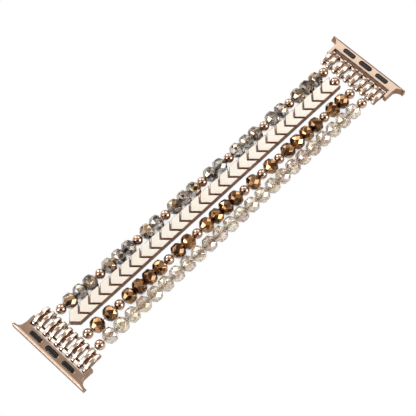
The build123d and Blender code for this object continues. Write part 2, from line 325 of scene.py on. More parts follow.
def mirrorPiece(piece):
    # turns a left piece into the right one, across the middle of the band
    selectOnly(piece)
    piece.scale = (-1, 1, 1)
    bpy.ops.object.transform_apply(location=False, rotation=False, scale=True)
    startEdit()
    bpy.ops.mesh.select_all(action="SELECT")
    bpy.ops.mesh.normals_make_consistent(inside=False)
    endEdit()


def joinPieces(pieces, name):
    bpy.ops.object.select_all(action="DESELECT")
    for piece in pieces:
        piece.select_set(True)
    bpy.context.view_layer.objects.active = pieces[0]
    if len(pieces) > 1:
        bpy.ops.object.join()
    joined = bpy.context.view_layer.objects.active
    joined.name = joined.data.name = name
    return joined


def dress(piece, material, body, slotName, *nodes):
    # gives a piece its material and its body, and hides the CAD nodes that it takes the place of; its slot name
    # is not used
    piece.data.materials.clear()
    piece.data.materials.append(material)
    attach(piece, body)
    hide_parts(*nodes)


# where the beads lie, as in the CAD model

# S is a small ball, C a crystal and V a chevron, from the left end; a bend comes after so many beads
strandBeads = {
    "ballLength": 0.0039,
    "smoky": {"y": 0.0095, "order": "SCCCSCCCSCCSCCCSCCSCCCSCCSCCCS", "crystal": 0.00485, "gap": 0.00005,
              "bends": (4, 9, 12, 18, 22, 26)},
    "chevron": {"y": 0.00345, "order": "V" * 27 + "S", "crystal": 0.00445, "gap": 0.00059,
                "bends": (4, 8, 11, 16, 20, 24)},
    "bronze": {"y": -0.004, "order": "SCCSCCCCSCCSCCCCSCSCSCCCCSCCS", "crystal": 0.00485, "gap": 0.00022,
               "bends": (4, 9, 12, 17, 21, 25), "slack": (2, 0.0013)},      # where the bare cord shows
    "champagne": {"y": -0.010, "order": "S" + "C" * 24 + "S", "crystal": 0.005, "gap": 0.00051,
                  "bends": (4, 8, 11, 15, 19, 22)},
    "bendGap": 0.0004,       # least room at a bend
    "notchGap": 0.0001,      # between the last chevron's notch and the ball in it
}


def placesOf(name):
    # each bead's kind, start and segment, and the middle of each gap that a bend lies in
    strand = strandBeads[name]
    order, bends = strand["order"], strand["bends"]
    lengths = [strandBeads["ballLength"] if kind == "S" else strand["crystal"] for kind in order]
    gaps = [strand["gap"]] * (len(order) - 1) + [0]
    for bend in bends:
        gaps[bend - 1] = max(strand["gap"], strandBeads["bendGap"])
    if "slack" in strand:
        gaps[strand["slack"][0] - 1] = strand["slack"][1]
    if name == "chevron":
        half = strandBeads["ballLength"] / 2
        gaps[-2] = half / math.sin(math.atan2(chevronCut["width"] / 2, chevronCut["point"])) - half
        gaps[-2] += strandBeads["notchGap"]
    x = -(sum(lengths) + sum(gaps)) / 2
    beads, breaks = [], []
    for k, kind in enumerate(order):
        segment = sum(k >= bend for bend in bends) + 1
        beads.append((kind, x, lengths[k], segment))
        if k + 1 in bends:
            breaks.append(x + lengths[k] + gaps[k] / 2)
        x += lengths[k] + gaps[k]
    return beads, breaks


chevronCut = {
    "side": 0.00445,
    "point": 0.0028,
    "width": 0.0058,
    "thickness": 0.003,
    "bore": 0.001,
    "edge": 0.00036,
    "softness": 0.00006,
}
beadHeight = 0.0026579      # of the balls' and chevrons' holes over the table
strands = {name: placesOf(name) for name in ("smoky", "chevron", "bronze", "champagne")}
print("beads laid out")


# materials

def twoColours(lowHex, highHex):
    return {"data_type": "RGBA", 6: linearColour(lowHex), 7: linearColour(highHex)}


def crystalGlass(name, darkHex, lightHex, roughness, clearness, filmDarkHex, filmLightHex, filmShare, lustre):
    # fire-polished glass: each facet passes its own share of light, and the coated ones mirror it
    material, tree = newMaterial(name)
    tone = addNode(tree, "ShaderNodeAttribute", {"attribute_name": "facetTone"}).outputs["Fac"]
    coated = addNode(tree, "ShaderNodeAttribute", {"attribute_name": "coat"}).outputs["Fac"]
    body = addNode(tree, "ShaderNodeMix", twoColours(darkHex, lightHex), {0: tone}).outputs[2]
    glass = addNode(tree, "ShaderNodeBsdfPrincipled",
                    {"Roughness": roughness, "IOR": 1.56, "Transmission Weight": clearness,
                     "Coat Weight": 0.5, "Coat Roughness": 0.02}, {"Base Color": body})
    sheen = addNode(tree, "ShaderNodeMix", twoColours(filmDarkHex, filmLightHex), {0: tone}).outputs[2]
    film = addNode(tree, "ShaderNodeBsdfPrincipled", {"Metallic": 1.0, "Roughness": 0.1}, {"Base Color": sheen})
    cover = addNode(tree, "ShaderNodeMapRange", {"To Min": lustre, "To Max": filmShare}, {"Value": coated})
    both = addNode(tree, "ShaderNodeMixShader", {},
                   {0: cover.outputs[0], 1: glass.outputs[0], 2: film.outputs[0]})
    finishMaterial(tree, both)
    return material


def bronzeGlass():
    # opaque glass under a fired bronze coating: golden where it mirrors light, dark brown elsewhere,
    # with clouds of about 1 mm where the coating ran
    material, tree = newMaterial("bronzeCoatedGlass")
    place = addNode(tree, "ShaderNodeTexCoord").outputs["Object"]
    cloud = addNode(tree, "ShaderNodeTexNoise", {"Scale": 900.0, "Detail": 3.0}, {"Vector": place}).outputs[0]
    tone = addNode(tree, "ShaderNodeAttribute", {"attribute_name": "facetTone"}).outputs["Fac"]
    blend = addNode(tree, "ShaderNodeMix", {"data_type": "FLOAT", 0: 0.25}, {2: tone, 3: cloud}).outputs[0]
    colour = addNode(tree, "ShaderNodeMix", twoColours("#260F04", "#E2B07A"), {0: blend}).outputs[2]
    metal = addNode(tree, "ShaderNodeBsdfPrincipled",
                    {"Metallic": 1.0, "Roughness": 0.08, "Coat Weight": 0.6, "Coat Roughness": 0.03},
                    {"Base Color": colour})
    finishMaterial(tree, metal)
    return material


def platedMetal(name, darkHex, brightHex, roughness, grain, grainHeight, metallic=1.0, paintedShadeHex=None):
    # plated metal whose tone and gloss vary in clouds of 5 mm, with a finer grain; upright sides can take a
    # darker painted shade
    material, tree = newMaterial(name)
    place = addNode(tree, "ShaderNodeTexCoord").outputs["Object"]
    cloud = addNode(tree, "ShaderNodeTexNoise", {"Scale": 180.0, "Detail": 4.0}, {"Vector": place}).outputs[0]
    colour = addNode(tree, "ShaderNodeMix", twoColours(darkHex, brightHex), {0: cloud}).outputs[2]
    if paintedShadeHex:
        # painted shade: faces marked as sides take the darker colour
        side = addNode(tree, "ShaderNodeAttribute", {"attribute_name": "side"}).outputs["Fac"]
        colour = addNode(tree, "ShaderNodeMix", {"data_type": "RGBA", 7: linearColour(paintedShadeHex)},
                         {0: side, 6: colour}).outputs[2]
    gloss = addNode(tree, "ShaderNodeMapRange", {"To Min": roughness * 0.8, "To Max": roughness * 1.25},
                    {"Value": cloud}).outputs[0]
    fine = addNode(tree, "ShaderNodeTexNoise", {"Scale": grain, "Detail": 2.0}, {"Vector": place}).outputs[0]
    bump = addNode(tree, "ShaderNodeBump", {"Strength": 0.35, "Distance": grainHeight}, {"Height": fine})
    metal = addNode(tree, "ShaderNodeBsdfPrincipled", {"Metallic": metallic},
                    {"Base Color": colour, "Roughness": gloss})
    finishMaterial(tree, metal, bump)
    return material


def siliconeRubber():
    # moulded black silicone: matte, with a moulded grain of a third of a millimetre, coarser than the real one
    material, tree = newMaterial("blackSiliconeRubber")
    place = addNode(tree, "ShaderNodeTexCoord").outputs["Object"]
    fine = addNode(tree, "ShaderNodeTexNoise", {"Scale": 3000.0, "Detail": 2.0}, {"Vector": place}).outputs[0]
    colour = addNode(tree, "ShaderNodeMix", twoColours("#020202", "#09090A"), {0: fine}).outputs[2]
    bump = addNode(tree, "ShaderNodeBump", {"Strength": 0.3, "Distance": 0.000006}, {"Height": fine})
    rubber = addNode(tree, "ShaderNodeBsdfPrincipled", {"Roughness": 0.3, "Specular IOR Level": 0.5},
                     {"Base Color": colour})
    finishMaterial(tree, rubber, bump)
    return material


def clearElastic():
    # clear polyurethane cord: glossy along its length, with milky clouds of 1.4 mm
    material, tree = newMaterial("clearPolyurethaneCord")
    place = addNode(tree, "ShaderNodeTexCoord").outputs["Object"]
    milk = addNode(tree, "ShaderNodeTexNoise", {"Scale": 700.0, "Detail": 2.0}, {"Vector": place}).outputs[0]
    colour = addNode(tree, "ShaderNodeMix", twoColours("#DCDCD6", "#F6F6F2"), {0: milk}).outputs[2]
    cord = addNode(tree, "ShaderNodeBsdfPrincipled",
                   {"Roughness": 0.18, "IOR": 1.5, "Transmission Weight": 0.6}, {"Base Color": colour})
    finishMaterial(tree, cord)
    return material


# glass: darkest and clearest facet, roughness, clearness, film tones, film's cover where coated and elsewhere
# metal: darkest and brightest tone, roughness, grains a metre, their height, metallic share, painted shade on
# upright sides
# the real grains are finer than the picture's points, so they are drawn 0.2 to 0.7 mm wide to show
finishes = {
    # grey glass with near-black and clear facets, and a golden brown mirror on some
    "smoky": crystalGlass("smokedGlassHalfCoated", "#050608", "#F6FAFF", 0.035, 0.9,
                          "#54402E", "#E4CBA4", 0.85, 0.26),
    # pale straw glass, with a pearly cream to lilac shimmer on a few facets
    "champagne": crystalGlass("champagneLustreGlass", "#C6A678", "#FFFEF9", 0.05, 0.88,
                              "#CFC0F2", "#FBF2CC", 0.55, 0.2),
    "bronze": bronzeGlass(),
    # cream satin face, whose thin plating hardly mirrors, with copper brown painted shade on its sides
    "chevron": platedMetal("satinGoldPlatedHematite", "#F9F8F0", "#FBFBF6", 0.36, 2600.0, 0.000004,
                           0.1, "#865A42"),
    # a small pink mirror
    "ball": platedMetal("roseGoldPlatedBrass", "#CCB09E", "#E4CCBA", 0.07, 1500.0, 0.000002),
    # bright pale crests, with brown painted shade on their walls and on the web between them
    "links": platedMetal("polishedPalePlating", "#E0D1C4", "#F0E6DD", 0.18, 1500.0, 0.000003, 1.0, "#8E705E"),
    # soft blasted face with a fine sparkle, its edges browner with painted shade
    "adapter": platedMetal("beadBlastedRoseGoldSteel", "#BDA694", "#D2BEAF", 0.25, 5200.0, 0.00001,
                           1.0, "#9C7860"),
    # smooth and a little darker than the links
    "pins": platedMetal("turnedRoseGoldSteel", "#A98A78", "#C9AD9C", 0.2, 2400.0, 0.000004),
    # a brown line along the beads: the bar is real, and its dark brown is painted shade
    "paintedShadeBars": platedMetal("cordBarWireInPaintedShade", "#7A4C34", "#9C6C54", 0.25, 2400.0, 0.000004),
    # plain grey, hidden under the lock
    "spring": platedMetal("springSteel", "#8B8B8C", "#B4B4B5", 0.25, 2400.0, 0.000003),
    "rubber": siliconeRubber(),
    "tab": siliconeRubber(),
    "cord": clearElastic(),
}
print("materials ready")


# faceted crystals

crystalCut = {
    "diameter": 0.00588,
    "height": 0.0028,        # of the hole over the table
    "sides": 10,
    "tableDiameter": 0.0029,
    "diamondShare": 0.52,    # length of the diamond facets, as a share of the bead's
    "bore": 0.001,
    "softness": 0.00005,     # fire polishing rounds the edges a little
    "smallestFacet": 2.5e-7,  # square metres; smaller faces are rounded edges
    "lean": (2.5, 5.0),      # degrees, nose up or down and to either side
}


def addRing(x, radius, turn):
    # one ring of corners about the X axis
    bpy.ops.mesh.select_all(action="DESELECT")
    bpy.ops.mesh.primitive_circle_add(vertices=crystalCut["sides"], radius=radius, location=(x, 0, 0),
                                      rotation=(0, math.pi / 2, 0))
    bpy.ops.transform.rotate(value=turn, orient_axis="X", center_override=(0, 0, 0))


def makeCrystal(length):
    # five rings of corners, closed to a faceted body, with a flat and a hole at each end
    radius, step = crystalCut["diameter"] / 2, math.pi / crystalCut["sides"]
    crystal = addPrimitive("circle", vertices=crystalCut["sides"], radius=radius, rotation=(0, math.pi / 2, 0))
    startEdit("VERT")
    for x in (-length / 2, length / 2):
        addRing(x * crystalCut["diamondShare"], radius * math.cos(step), step)
        addRing(x, crystalCut["tableDiameter"] / 2, step)
    bpy.ops.mesh.select_all(action="SELECT")
    bpy.ops.mesh.convex_hull()
    bpy.ops.mesh.select_all(action="SELECT")
    bpy.ops.mesh.dissolve_limited(angle_limit=math.radians(1))
    bpy.ops.mesh.normals_make_consistent(inside=False)
    pick("faces", lambda f: abs(f.normal.x) > 0.99)
    flat = crystalCut["tableDiameter"] / 2 * math.cos(step)
    bpy.ops.mesh.inset(thickness=flat - crystalCut["bore"] / 2)
    bpy.ops.mesh.bridge_edge_loops()
    endEdit()
    return softenEdges(crystal, crystalCut["softness"], 2, 12)


def toneFacets(crystal, coated, power):
    # every facet gets its own tone, and the coated share of them a coat; narrow edges take their neighbour's
    mesh = crystal.data
    large = [f for f in mesh.polygons if f.area > crystalCut["smallestFacet"]]
    tones = {}
    for face in large:
        share = chance.random() ** power
        for _ in range(2):                              # twice through a smooth step, to part dark from light
            share = share * share * (3 - 2 * share)
        tones[face.index] = share
    side = Vector((chance.uniform(-0.4, 0.4), chance.uniform(-1, 1), chance.uniform(-1, 1))).normalized()
    tone = mesh.attributes.new("facetTone", "FLOAT", "FACE")
    coat = mesh.attributes.new("coat", "FLOAT", "FACE")
    for face in mesh.polygons:
        nearest = max(large, key=lambda f: f.normal.dot(face.normal))
        tone.data[face.index].value = tones[nearest.index]
        lean = nearest.normal.dot(side)
        coat.data[face.index].value = 1.0 if lean > 1 - 2 * coated else 0.0


def crystalStrand(name, coats, power):
    # each bead is turned by chance and leans a little on the cord; some have a coated side
    pattern = makeCrystal(strandBeads[name]["crystal"])
    for segment in range(1, 8):
        copies = []
        for kind, x, length, where in strands[name][0]:
            if kind == "C" and where == segment:
                lean = [math.radians(chance.uniform(-reach, reach)) for reach in crystalCut["lean"]]
                place = (x + length / 2, strandBeads[name]["y"], crystalCut["height"])
                bead = copyPiece(pattern, place, chance.uniform(0, 2 * math.pi), False, lean)
                toneFacets(bead, chance.choice(coats), power)
                copies.append(bead)
        piece = joinPieces(copies, f"{name}Crystals_{segment}")
        dress(piece, finishes[name], f"segment_{segment}", f"{name}_glass", f"{name}_crystals_{segment}")
    bpy.data.objects.remove(pattern)


# the coated shares that a bead may have, and how its tones lean: under 1 to light, over 1 to dark
crystalLooks = {
    "smoky": ((0, 0, 0.25, 0.35), 0.66),
    "bronze": ((0,), 1.4),
    "champagne": ((0, 0, 0.12), 0.64),
}
for name, (coats, power) in crystalLooks.items():
    crystalStrand(name, coats, power)
print("crystals done")


# chevron beads

def makeChevron():
    # a strip across the band with its ends pushed along, raised and drilled through its notch and point
    side, point, width = chevronCut["side"], chevronCut["point"], chevronCut["width"]
    chevron = addPrimitive("plane", size=1, location=(0.5, 0, 0))
    startEdit()
    bpy.ops.mesh.select_all(action="SELECT")
    bpy.ops.transform.resize(value=(side, width, 1), center_override=(0, 0, 0))
    bpy.ops.mesh.bisect(plane_co=(0, 0, 0), plane_no=(0, 1, 0))
    pick("verts", lambda v: abs(v.co.y) > width / 4)
    bpy.ops.transform.translate(value=(point, 0, 0))
    bpy.ops.mesh.select_all(action="SELECT")
    bpy.ops.transform.translate(value=(0, 0, -chevronCut["thickness"] / 2))
    bpy.ops.mesh.extrude_region_move(TRANSFORM_OT_translate={"value": (0, 0, chevronCut["thickness"])})
    bpy.ops.mesh.select_all(action="SELECT")
    bpy.ops.mesh.normals_make_consistent(inside=False)
    pick("edges", lambda e: abs(middleOf(e).z) > chevronCut["thickness"] * 0.49 and abs(middleOf(e).y) > tiny)
    bpy.ops.mesh.bevel(offset=chevronCut["edge"], segments=3, profile=0.6, affect="EDGES")
    endEdit()
    drill = addPrimitive("cylinder", vertices=16, radius=chevronCut["bore"] / 2, depth=0.02,
                         rotation=(0, math.pi / 2, 0))
    combine(chevron, drill, "DIFFERENCE")
    softenEdges(chevron, chevronCut["softness"], 2, 40)
    shadeSmooth(chevron, 25)
    # painted shade: the upright walls are marked to take the finish's brown
    sides = chevron.data.attributes.new("side", "FLOAT", "FACE")
    for face in chevron.data.polygons:
        sides.data[face.index].value = 1.0 if abs(face.normal.z) < 0.8 else 0.0
    return chevron


def chevronStrand():
    pattern = makeChevron()
    for segment in range(1, 8):
        copies = [copyPiece(pattern, (x, strandBeads["chevron"]["y"], beadHeight))
                  for kind, x, length, where in strands["chevron"][0] if kind == "V" and where == segment]
        piece = joinPieces(copies, f"chevronBeads_{segment}")
        dress(piece, finishes["chevron"], f"segment_{segment}", "chevron_gold", f"chevron_beads_{segment}")
    bpy.data.objects.remove(pattern)


chevronStrand()
print("chevrons done")


# small metal balls

ballTurning = {
    "diameter": 0.0039,
    "bore": 0.0016,
    "segments": 28,
    "rings": 18,
    "cap": 0.86,         # the ends past this share of the radius are cut off
    "capRadius": 0.5,    # radius of that cut, as a share of the ball's
}


def makeBall():
    # a sphere with its two ends cut off and drawn in to the bore
    radius = ballTurning["diameter"] / 2
    ball = addPrimitive("uv_sphere", segments=ballTurning["segments"], ring_count=ballTurning["rings"],
                        radius=radius, rotation=(0, math.pi / 2, 0))
    startEdit()
    pick("faces", lambda f: abs(f.calc_center_median().x) > radius * ballTurning["cap"])
    bpy.ops.mesh.delete(type="FACE")
    pick("edges", lambda e: e.is_boundary)
    bpy.ops.mesh.extrude_edges_move()
    narrowed = ballTurning["bore"] / ballTurning["diameter"] / ballTurning["capRadius"]
    bpy.ops.transform.resize(value=(1, narrowed, narrowed), center_override=(0, 0, 0))
    bpy.ops.mesh.bridge_edge_loops()
    bpy.ops.mesh.select_all(action="SELECT")
    bpy.ops.mesh.normals_make_consistent(inside=False)
    endEdit()
    shadeSmooth(ball, 40)
    return ball


def ballPieces():
    pattern = makeBall()
    for segment in range(1, 8):
        copies = []
        for name, (beads, breaks) in strands.items():
            for kind, x, length, where in beads:
                if kind == "S" and where == segment:
                    copies.append(copyPiece(pattern, (x + length / 2, strandBeads[name]["y"], beadHeight)))
        piece = joinPieces(copies, f"metalBalls_{segment}")
        dress(piece, finishes["ball"], f"segment_{segment}", "ball_rose_gold", f"metal_balls_{segment}")
    bpy.data.objects.remove(pattern)


ballPieces()
print("balls done")


# connectors of double-rail links

linkCut = {
    "count": 5,
    "pitch": 0.00575,
    "railSpacing": 0.0026,
    "railWidth": 0.0012,
    "archWidth": 0.00142,
    "swell": 0.24,                                   # a rail is this much wider at its crest than at its ends
    "railThickness": 0.0023,
    "rise": 0.001,                                   # of a rail's crest over its two knuckles
    "rounding": 0.0003,                              # of its two upper corners
    "lowRounding": 0.00015,
    "steps": 14,                                     # stretches along the arch
    "plainSteps": 3,                                 # of them at each end before it swells
    "knuckleSoftness": 0.00016,
    "pin": (-0.077925, 0.0014, 0.00135, 0.0012),     # X, Z, radius and hole of the knuckle on the adapter's pin
    "bar": (-0.071925, 0.0026579, 0.0012, 0.00114),  # and of the one on the cord bar
    "webDrop": 0.0007,                               # of the web between two rails, under their crest
    "webThickness": 0.0006,
    "webLength": 0.0042,
    "webSoftness": 0.00012,
}


def circleThrough(a, b, c):
    # centre and radius of the circle through three points of a plane
    (ax, ay), (bx, by), (cx, cy) = a, b, c
    d = 2 * (ax * (by - cy) + bx * (cy - ay) + cx * (ay - by))
    u = ((ax**2 + ay**2) * (by - cy) + (bx**2 + by**2) * (cy - ay) + (cx**2 + cy**2) * (ay - by)) / d
    v = ((ax**2 + ay**2) * (cx - bx) + (bx**2 + by**2) * (ax - cx) + (cx**2 + cy**2) * (bx - ax)) / d
    return u, v, math.hypot(ax - u, ay - v)


def makeRail():
    # a rounded bar bent along its arch, with a drilled knuckle at each end
    pinX, pinZ, pinRadius = linkCut["pin"][:3]
    barX, barZ, barRadius = linkCut["bar"][:3]
    width, thickness = linkCut["railWidth"], linkCut["railThickness"]
    low, high = (pinX, pinZ + pinRadius), (barX, barZ + barRadius)
    crest = ((pinX + barX) / 2, (low[1] + high[1]) / 2 + linkCut["rise"])
    u, v, radius = circleThrough(low, crest, high)
    start = math.atan2(low[0] - u, low[1] - v)
    end = math.atan2(high[0] - u, high[1] - v)
    centre, core = Vector((u, 0, v)), radius - thickness / 2
    place = Vector((u + core * math.sin(start), 0, v + core * math.cos(start)))
    rail = addPrimitive("plane", (thickness, linkCut["archWidth"], 1), size=1, location=place,
                        rotation=(0, start - math.pi / 2, 0))
    startEdit("VERT")
    pick("verts", lambda c: (c.co - centre).length > core)
    bpy.ops.mesh.bevel(offset=linkCut["rounding"], segments=6, affect="VERTICES")
    pick("verts", lambda c: (c.co - centre).length < core)
    bpy.ops.mesh.bevel(offset=linkCut["lowRounding"], segments=2, affect="VERTICES")
    bpy.ops.mesh.select_all(action="SELECT")
    steps, plain = linkCut["steps"], linkCut["plainSteps"]
    bpy.ops.mesh.spin(steps=steps, angle=start - end, center=centre, axis=(0, 1, 0))
    for k in range(plain, steps - plain + 1):
        turn = start + (end - start) * k / steps
        across = Vector((math.cos(turn), 0, -math.sin(turn)))
        pick("verts", lambda c: abs((c.co - centre).dot(across)) < tiny)
        swell = 1 + linkCut["swell"] * math.sin(math.pi * (k - plain + 1) / (steps - 2 * plain + 2))
        bpy.ops.transform.resize(value=(1, swell, 1), center_override=(0, 0, 0))
    bpy.ops.mesh.select_all(action="SELECT")
    bpy.ops.mesh.normals_make_consistent(inside=False)
    endEdit()
    for x, z, knuckle, hole in (linkCut["pin"], linkCut["bar"]):
        drum = addPrimitive("cylinder", vertices=28, radius=knuckle, depth=width, location=(x, 0, z),
                            rotation=(math.pi / 2, 0, 0))
        softenEdges(drum, linkCut["knuckleSoftness"], 2, 40)
        combine(rail, drum, "UNION")
    for x, z, knuckle, hole in (linkCut["pin"], linkCut["bar"]):
        drill = addPrimitive("cylinder", vertices=20, radius=hole / 2, depth=width * 1.7, location=(x, 0, z),
                             rotation=(math.pi / 2, 0, 0))
        combine(rail, drill, "DIFFERENCE")
    return rail, crest, math.atan2(high[1] - low[1], barX - pinX)


def makeLinks():
    # two rails with a web between them, five times over at each end of the band
    rail, crest, slope = makeRail()
    drop = linkCut["webDrop"] + linkCut["webThickness"] / 2
    webSize = (linkCut["webLength"], linkCut["railSpacing"], linkCut["webThickness"])
    link = addPrimitive("cube", webSize, size=1, rotation=(0, -slope, 0),
                        location=(crest[0], 0, crest[1] - drop))
    softenEdges(link, linkCut["webSoftness"], 2, 40)
    for side in (-1, 1):
        combine(link, copyPiece(rail, (0, side * linkCut["railSpacing"] / 2, 0)), "UNION")
    bpy.data.objects.remove(rail)
    # the rails' walls and the recessed web between them are marked for painted shade
    sides = link.data.attributes.new("side", "FLOAT", "FACE")
    half = linkCut["railSpacing"] / 2 - linkCut["archWidth"] * (1 + linkCut["swell"]) / 2
    for face in link.data.polygons:
        sides.data[face.index].value = 1.0 if abs(face.normal.y) > 0.6 or abs(face.center.y) < half else 0.0
    first = -(linkCut["count"] - 1) / 2
    places = [(0, (first + k) * linkCut["pitch"], 0) for k in range(linkCut["count"])]
    for side in ("left", "right"):
        links = [copyPiece(link, place, 0, side == "right") for place in places]
        piece = joinPieces(links, f"{side}DoubleRailLinks")
        shadeSmooth(piece, 40, True)
        dress(piece, finishes["links"], f"{side}_connector", "link_rose_gold", f"{side}_links")
    bpy.data.objects.remove(link)


makeLinks()
print("links done")


# case adapters with their rubber pads, lock and spring

adapterCut = {
    "front": -0.084025,
    "half": 0.018,
    "thickness": 0.0028,
    "barDepth": 0.00425,
    "wingRows": 7,               # steps that draw the curve behind each end
    "tipDepth": 0.0015,          # of each end at its foot
    "tipTopDepth": 0.00025,      # and at the top, where it is a point
    "wingDepth": 0.0033,
    "wingHollow": 0.00055,
    "wingFoot": 0.0009,          # height where the wall behind each end starts to lean
    "earInner": 0.01355,
    "earOuter": 0.01485,
    "earEnd": -0.076325,
    "lip": 0.0008,               # the front slopes down from here
    "lipDrop": 0.0004,
    "softness": 0.00014,
    "pinHole": (-0.077925, 0.0014, 0.00114),
}
insertCut = {
    "x": -0.081675,
    "pitch": 0.0081,
    "length": 0.0057,
    "width": 0.0019,
    "proud": 0.0001,
    "padDepth": 0.0009,
    "crown": 0.0007,                             # width of the pads' and the tab's rounded rims
    "padGap": 0.00005,
    "lockGap": 0.00008,
    "lockFloor": 0.00045,
    "lockFoot": (0.0003, 0.00145, 0.00185),      # flange, lower and upper side
    "footDrop": 0.00001,                         # keeps its underside clear of the tab's while they are joined
    "lockRoomTop": 0.0019,
    "lockTravel": 0.0006,
    "springWidth": 0.001,
    "springLength": 0.0046,
    "springThickness": 0.00012,
    "springGap": 0.00002,                        # between the spring and the lock's foot
    "rim": 0.00014,
}
springRise = insertCut["lockFoot"][1] - insertCut["lockFloor"] - insertCut["springGap"]


def wingCurve(tipDepth):
    # the curve behind an end of the adapter, as a function from Y to X
    front, outer, half = adapterCut["front"], adapterCut["earOuter"], adapterCut["half"]
    tip, wing, dip = front + tipDepth, front + adapterCut["wingDepth"], adapterCut["wingHollow"]
    hollow = ((tip + wing) / 2 - dip, (half + outer) / 2 - dip)
    u, v, radius = circleThrough((tip, half), hollow, (wing, outer))
    return lambda y: u - math.sqrt(max(radius**2 - (y - v)**2, 0)), v, radius


def makeAdapter():
    # half of the adapter is drawn as strips, raised in two steps and mirrored
    cut = adapterCut
    front, back = cut["front"], cut["front"] + cut["barDepth"]
    ridge, wing = front + cut["lip"], front + cut["wingDepth"]
    inner, outer, half, top = cut["earInner"], cut["earOuter"], cut["half"], cut["thickness"]
    foot, v, radius = wingCurve(cut["tipDepth"])
    upper = wingCurve(cut["tipTopDepth"])[0]
    adapter = addPrimitive("plane", (back - front, inner, 1), size=1,
                           location=((front + back) / 2, inner / 2, 0))
    startEdit("EDGE")
    for x in (ridge, wing):
        bpy.ops.mesh.select_all(action="SELECT")
        bpy.ops.mesh.bisect(plane_co=(x, 0, 0), plane_no=(1, 0, 0))
    pick("edges", lambda e: min(c.co.y for c in e.verts) > inner - tiny)
    bpy.ops.mesh.extrude_region_move(TRANSFORM_OT_translate={"value": (0, outer - inner, 0)})
    pick("edges", lambda e: all(c.co.x > back - tiny and c.co.y > inner - tiny for c in e.verts))
    bpy.ops.mesh.extrude_region_move(TRANSFORM_OT_translate={"value": (cut["earEnd"] - back, 0, 0)})
    low, high = math.asin((outer - v) / radius), math.asin((half - v) / radius)
    steps = cut["wingRows"]
    rows = [v + radius * math.sin(low + (high - low) * k / steps) for k in range(steps + 1)]
    for before, after in zip(rows, rows[1:]):
        pick("edges", lambda e: min(c.co.y for c in e.verts) > before - tiny and middleOf(e).x < wing - tiny)
        bpy.ops.mesh.extrude_region_move(TRANSFORM_OT_translate={"value": (0, after - before, 0)})
        pick("verts", lambda c: c.co.y > after - tiny and c.co.x > ridge + tiny)
        bpy.ops.transform.translate(value=(foot(after) - foot(before), 0, 0))
    bpy.ops.mesh.select_all(action="SELECT")
    bpy.ops.mesh.extrude_region_move(TRANSFORM_OT_translate={"value": (0, 0, cut["wingFoot"])})
    bpy.ops.mesh.extrude_region_move(TRANSFORM_OT_translate={"value": (0, 0, top - cut["wingFoot"])})
    for row in rows[1:]:
        lean = upper(row) - foot(row)
        pick("verts", lambda c: c.co.z > top - tiny and abs(c.co.y - row) < tiny and c.co.x > ridge + tiny)
        bpy.ops.transform.translate(value=(lean, 0, 0))
        short = min(0, (upper(row) + front) / 2 - ridge)
        pick("verts", lambda c: c.co.z > top - tiny and abs(c.co.y - row) < tiny and abs(c.co.x - ridge) < tiny)
        bpy.ops.transform.translate(value=(short, 0, 0))
    pick("verts", lambda c: c.co.z > top - tiny and c.co.x < ridge - tiny)
    columns = sorted({round(c.co.x, 7) for c in bmesh.from_edit_mesh(adapter.data).verts if c.select})
    for x in columns:
        pick("verts", lambda c: c.co.z > top - tiny and abs(c.co.x - x) < tiny / 2)
        bpy.ops.transform.translate(value=(0, 0, -cut["lipDrop"] * (ridge - x) / cut["lip"]))
    pick("faces", lambda f: f.calc_center_median().y < tiny)
    bpy.ops.mesh.delete(type="FACE")
    bpy.ops.mesh.select_all(action="SELECT")
    bpy.ops.mesh.normals_make_consistent(inside=False)
    endEdit()
    useModifier(adapter, "MIRROR", use_axis=(False, True, False), merge_threshold=tiny)
    softenEdges(adapter, cut["softness"], 2, 20)
    x, z, hole = cut["pinHole"]
    drill = addPrimitive("cylinder", vertices=24, radius=hole / 2, depth=0.04, location=(x, 0, z),
                         rotation=(math.pi / 2, 0, 0))
    combine(adapter, drill, "DIFFERENCE")
    shallow = top - insertCut["padDepth"]
    deep, gap = insertCut["lockFloor"], insertCut["lockGap"]
    for side, floor, grow in ((-1, shallow, 0), (0, deep, gap), (1, shallow, 0)):
        pocket = makeStadium(side * insertCut["pitch"], floor, top + toolReach, grow)
        combine(adapter, pocket, "DIFFERENCE")
    grow = 2 * (insertCut["lockFoot"][0] + insertCut["lockGap"])
    low, high = insertCut["lockFloor"], insertCut["lockRoomTop"]
    room = addPrimitive("cube", (insertCut["width"] + grow, insertCut["length"] + grow, high - low), size=1,
                        location=(insertCut["x"], 0, (low + high) / 2))
    combine(adapter, room, "DIFFERENCE")
    startEdit("EDGE")
    reach = insertCut["width"] / 2 + insertCut["lockGap"] + tiny
    pick("edges", lambda e: min(c.co.z for c in e.verts) > top - tiny and e.calc_face_angle(0) > 1
         and all(abs(c.co.x - insertCut["x"]) < reach for c in e.verts))
    bpy.ops.mesh.bevel(offset=insertCut["rim"], segments=2, affect="EDGES")
    endEdit()
    # upright faces are marked for painted shade, and sloping ones in part
    sides = adapter.data.attributes.new("side", "FLOAT", "FACE")
    for face in adapter.data.polygons:
        sides.data[face.index].value = min(1, max(0, 3 - 4 * abs(face.normal.z)))
    return adapter


def makeStadium(y, low, high, grow):
    # an upright block with round ends, its long side across the band
    width, length = insertCut["width"] + 2 * grow, insertCut["length"] + 2 * grow
    block = addPrimitive("cylinder", vertices=32, radius=width / 2, depth=high - low,
                         location=(insertCut["x"], 0, (low + high) / 2))
    startEdit("VERT")
    for side in (-1, 1):
        pick("verts", lambda c: c.co.y * side > tiny)
        bpy.ops.transform.translate(value=(0, side * (length - width) / 2, 0))
    bpy.ops.mesh.select_all(action="SELECT")
    bpy.ops.transform.translate(value=(0, y, 0))
    endEdit()
    return block


